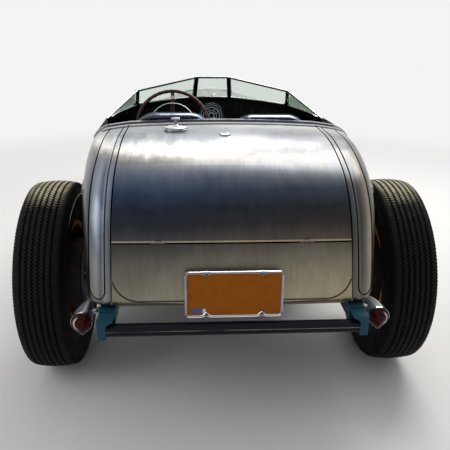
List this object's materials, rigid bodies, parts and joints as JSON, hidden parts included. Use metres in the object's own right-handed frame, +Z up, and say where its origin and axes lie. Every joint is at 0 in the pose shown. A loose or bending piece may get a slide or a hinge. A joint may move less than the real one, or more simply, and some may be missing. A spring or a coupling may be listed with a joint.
{
  "type": "street rod roadster",
  "caption": "Fenderless open two-seat street rod with a bare steel body, rear lid, split wrap-round windshield, separate hood and steered front wheels.",
  "frame": {"origin": "on the ground, midway along the car's length and width", "axes": "+Y towards the front of the car, +X its right side, +Z up"},
  "size_m": [1.55, 3.6373, 1.078],
  "materials": {
    "body_steel": "brushed bare steel, clear coated",
    "frame_paint": "dark teal blue gloss",
    "chassis_black": "satin black",
    "chrome": "polished",
    "screen_frame": "black with a bright top rail",
    "glass": "clear, faintly green",
    "red_lens": "dark red",
    "wheel_paint": "amber gloss",
    "tyre": "black rubber",
    "black_leather": "black, stitched",
    "bare_aluminium": "polished",
    "dash_black": "black",
    "steering_plastic": "very dark red",
    "plate_orange": "deep orange enamel, blank",
    "engine_iron": "painted iron",
    "exhaust_steel": "dulled by heat"
  },
  "bodies": {
    "chassis": {"frame_rails": "frame_paint", "crossmembers": "frame_paint", "rear_spreader_bar": "frame_paint", "front_spreader_bar": "frame_paint", "rear_axle": "chassis_black", "springs": "chassis_black", "floor": "chassis_black", "radiator": "chassis_black", "engine": "engine_iron", "exhaust": "exhaust_steel", "quarter_left": "body_steel", "quarter_right": "body_steel", "rear_panel": "body_steel", "deck_rail": "body_steel", "cowl": "body_steel", "hood_sides": "body_steel", "hood_hinge": "body_steel", "grille_shell": "chrome", "grille_bars": "chrome", "front_axle": "chrome", "hairpins": "chrome", "plate_frame": "chrome", "licence_plate": "plate_orange", "tail_lamps": "chrome", "tail_lamp_lenses": "red_lens", "headlamps": "chrome", "headlamp_lenses": "glass", "windshield_frame": "screen_frame", "windshield_glass": "glass", "seat_shells": "bare_aluminium", "seat_pads": "black_leather", "dash": "dash_black", "steering_column": "dash_black"},
    "rear_lid": {"deck_lid": "body_steel", "deck_hardware": "chrome"},
    "left_door": {"door_left": "body_steel"},
    "right_door": {"door_right": "body_steel"},
    "left_hood": {"hood_left": "body_steel"},
    "right_hood": {"hood_right": "body_steel"},
    "steering": {"steering_wheel": "steering_plastic"},
    "track_rod": {"tie_rod": "chrome"},
    "left_knuckle": {"knuckle_left": "chrome"},
    "right_knuckle": {"knuckle_right": "chrome"},
    "front_left": {"tyre_front_left": "tyre", "wheel_front_left": "wheel_paint"},
    "front_right": {"tyre_front_right": "tyre", "wheel_front_right": "wheel_paint"},
    "rear_left": {"tyre_rear_left": "tyre", "wheel_rear_left": "wheel_paint"},
    "rear_right": {"tyre_rear_right": "tyre", "wheel_rear_right": "wheel_paint"}
  },
  "joints": [
    {"name": "wheel_rear_left", "type": "hinge", "parent": "chassis", "child": "rear_left", "pos_m": [-0.68, -1.2215, 0.381], "axis": [1, 0, 0], "continuous": true},
    {"name": "wheel_rear_right", "type": "hinge", "parent": "chassis", "child": "rear_right", "pos_m": [0.68, -1.2215, 0.381], "axis": [1, 0, 0], "continuous": true},
    {"name": "steer_left", "type": "hinge", "parent": "chassis", "child": "left_knuckle", "pos_m": [-0.621, 1.4705, 0.348], "axis": [0, 0, 1], "range_deg": [-28, 28]},
    {"name": "steer_right", "type": "hinge", "parent": "chassis", "child": "right_knuckle", "pos_m": [0.621, 1.4705, 0.348], "axis": [0, 0, 1], "range_deg": [-28, 28]},
    {"name": "wheel_front_left", "type": "hinge", "parent": "left_knuckle", "child": "front_left", "pos_m": [-0.702, 1.4705, 0.348], "axis": [1, 0, 0], "continuous": true},
    {"name": "wheel_front_right", "type": "hinge", "parent": "right_knuckle", "child": "front_right", "pos_m": [0.702, 1.4705, 0.348], "axis": [1, 0, 0], "continuous": true},
    {"name": "track_rod_slide", "type": "slide", "parent": "chassis", "child": "track_rod", "axis": [1, 0, 0], "range_m": [-0.0735, 0.0735]},
    {"name": "steering_turn", "type": "hinge", "parent": "chassis", "child": "steering", "pos_m": [-0.25, -0.0625, 0.806], "axis": [0, -0.9272, 0.3746], "range_deg": [-281, 281]},
    {"name": "door_left_swing", "type": "hinge", "parent": "chassis", "child": "left_door", "pos_m": [-0.63326, -0.314, 0.7], "axis": [0, 0, -1], "range_deg": [0, 65]},
    {"name": "door_right_swing", "type": "hinge", "parent": "chassis", "child": "right_door", "pos_m": [0.63326, -0.314, 0.7], "axis": [0, 0, 1], "range_deg": [0, 65]},
    {"name": "rear_lid_lift", "type": "hinge", "parent": "chassis", "child": "rear_lid", "pos_m": [0, -1.6991, 0.6875], "axis": [1, 0, 0], "range_deg": [0, 60]},
    {"name": "hood_left_lift", "type": "hinge", "parent": "chassis", "child": "left_hood", "pos_m": [0, 0.5285, 0.92868], "axis": [0, 0.9996, -0.0292], "range_deg": [0, 50]},
    {"name": "hood_right_lift", "type": "hinge", "parent": "chassis", "child": "right_hood", "pos_m": [0, 0.5285, 0.92868], "axis": [0, -0.9996, 0.0292], "range_deg": [0, 50]}
  ],
  "couplings": [
    {"joint": "steer_right", "follows": "steer_left", "ratio": 1},
    {"joint": "steering_turn", "follows": "steer_left", "ratio": 10},
    {"joint": "track_rod_slide", "follows": "steer_left", "m_per_rad": 0.15}
  ]
}
